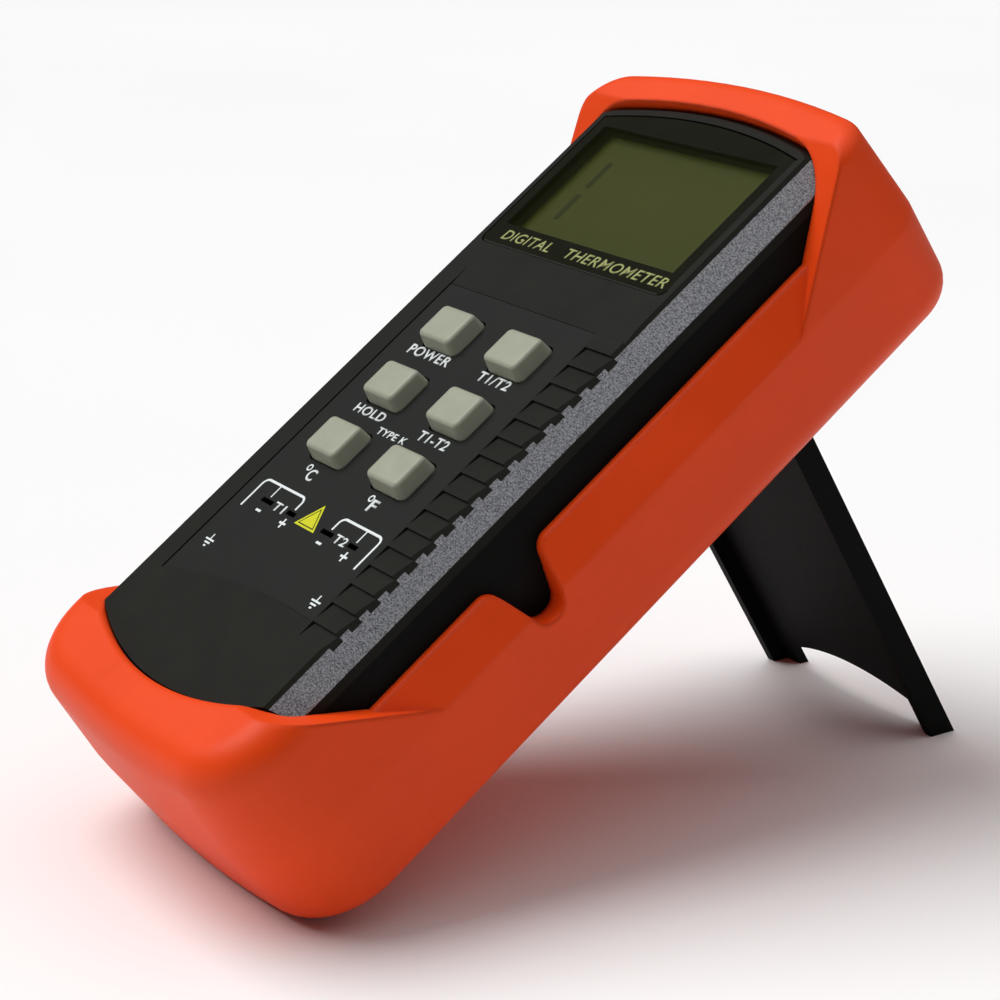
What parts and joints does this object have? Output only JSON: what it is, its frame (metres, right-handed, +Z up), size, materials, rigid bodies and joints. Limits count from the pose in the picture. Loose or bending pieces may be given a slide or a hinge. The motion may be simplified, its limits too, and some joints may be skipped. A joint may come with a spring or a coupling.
{
  "type": "dual-input thermocouple thermometer",
  "caption": "Hand-held digital thermometer with flat-pin probe inputs and rubber keys, in a rubber boot, leaning on its fold-out rear stand.",
  "frame": {"origin": "middle of the whole assembly's box, at the level of the surface it stands on", "axes": "+Z up, +X to the user's right across the face, +Y away from the user, towards the stand; the face leans back"},
  "size_m": [0.073, 0.1536, 0.115],
  "materials": {
    "boot_rubber": "satin moulded rubber",
    "stand_plastic": "fine moulded texture",
    "case_plastic": "fine texture, silver speckle on the side bevels",
    "label_print": "printed sheet with white marks",
    "window_plastic": "clear window with a printed border",
    "display_glass": "reflective display cell",
    "frame_plastic": "plain",
    "strip_rubber": "layered conductive rubber",
    "sheet_rubber": "moulded",
    "key_rubber": "matt moulded rubber",
    "pill_rubber": "carbon-filled",
    "board_laminate": "solder mask",
    "socket_plastic": "moulded",
    "contact_metal": "formed strip",
    "chip_plastic": "moulded epoxy",
    "crystal_steel": "drawn can",
    "can_aluminium": "drawn can",
    "trimmer_plastic": "moulded",
    "rotor_brass": "slotted",
    "screw_steel": "zinc plated",
    "battery_wrap": "plain wrap",
    "snap_plastic": "moulded",
    "red_lead": "insulation",
    "black_lead": "insulation",
    "foam_rubber": "closed-cell foam"
  },
  "bodies": {
    "meter": {"protective_boot": "boot_rubber", "front_case": "case_plastic", "rear_case": "case_plastic", "battery_door": "case_plastic", "face_label": "label_print", "display_window": "window_plastic", "display_glass": "display_glass", "display_frame": "frame_plastic", "contact_strips": "strip_rubber", "key_sheet": "sheet_rubber", "circuit_board": "board_laminate", "input_socket_1": "socket_plastic", "input_socket_2": "socket_plastic", "socket_1_wide_contact": "contact_metal", "socket_1_narrow_contact": "contact_metal", "socket_2_wide_contact": "contact_metal", "socket_2_narrow_contact": "contact_metal", "main_chip": "chip_plastic", "crystal": "crystal_steel", "capacitors": "can_aluminium", "cold_junction_sensors": "chip_plastic", "trimmer_body_1": "trimmer_plastic", "trimmer_body_2": "trimmer_plastic", "case_screws": "screw_steel", "board_screws": "screw_steel", "door_screw": "screw_steel", "battery": "battery_wrap", "battery_snap": "snap_plastic", "red_lead": "red_lead", "black_lead": "black_lead", "battery_foam": "foam_rubber"},
    "stand": {"tilt_stand": "stand_plastic"},
    "power_key_body": {"power_key": "key_rubber", "power_key_pill": "pill_rubber"},
    "channel_key_body": {"channel_key": "key_rubber", "channel_key_pill": "pill_rubber"},
    "hold_key_body": {"hold_key": "key_rubber", "hold_key_pill": "pill_rubber"},
    "difference_key_body": {"difference_key": "key_rubber", "difference_key_pill": "pill_rubber"},
    "celsius_key_body": {"celsius_key": "key_rubber", "celsius_key_pill": "pill_rubber"},
    "fahrenheit_key_body": {"fahrenheit_key": "key_rubber", "fahrenheit_key_pill": "pill_rubber"},
    "rotor_1": {"trimmer_rotor_1": "rotor_brass"},
    "rotor_2": {"trimmer_rotor_2": "rotor_brass"}
  },
  "joints": [
    {"name": "stand_hinge", "type": "hinge", "parent": "meter", "child": "stand", "pos_m": [0, 0.03356, 0.06782], "axis": [-1, 0, 0], "range_deg": [0, 84.7]},
    {"name": "power_key_press", "type": "slide", "parent": "meter", "child": "power_key_body", "axis": [0, 0.5854, -0.8108], "range_m": [0, 0.001], "stiffness_N_per_m": 1500},
    {"name": "channel_key_press", "type": "slide", "parent": "meter", "child": "channel_key_body", "axis": [0, 0.5854, -0.8108], "range_m": [0, 0.001], "stiffness_N_per_m": 1500},
    {"name": "hold_key_press", "type": "slide", "parent": "meter", "child": "hold_key_body", "axis": [0, 0.5854, -0.8108], "range_m": [0, 0.001], "stiffness_N_per_m": 1500},
    {"name": "difference_key_press", "type": "slide", "parent": "meter", "child": "difference_key_body", "axis": [0, 0.5854, -0.8108], "range_m": [0, 0.001], "stiffness_N_per_m": 1500},
    {"name": "celsius_key_press", "type": "slide", "parent": "meter", "child": "celsius_key_body", "axis": [0, 0.5854, -0.8108], "range_m": [0, 0.001], "stiffness_N_per_m": 1500},
    {"name": "fahrenheit_key_press", "type": "slide", "parent": "meter", "child": "fahrenheit_key_body", "axis": [0, 0.5854, -0.8108], "range_m": [0, 0.001], "stiffness_N_per_m": 1500},
    {"name": "trimmer_1_turn", "type": "hinge", "parent": "meter", "child": "rotor_1", "pos_m": [-0.012, 0.00808, 0.07218], "axis": [0, 0.5854, -0.8108], "range_deg": [-135, 135]},
    {"name": "trimmer_2_turn", "type": "hinge", "parent": "meter", "child": "rotor_2", "pos_m": [0.012, 0.00808, 0.07218], "axis": [0, 0.5854, -0.8108], "range_deg": [-135, 135]}
  ]
}
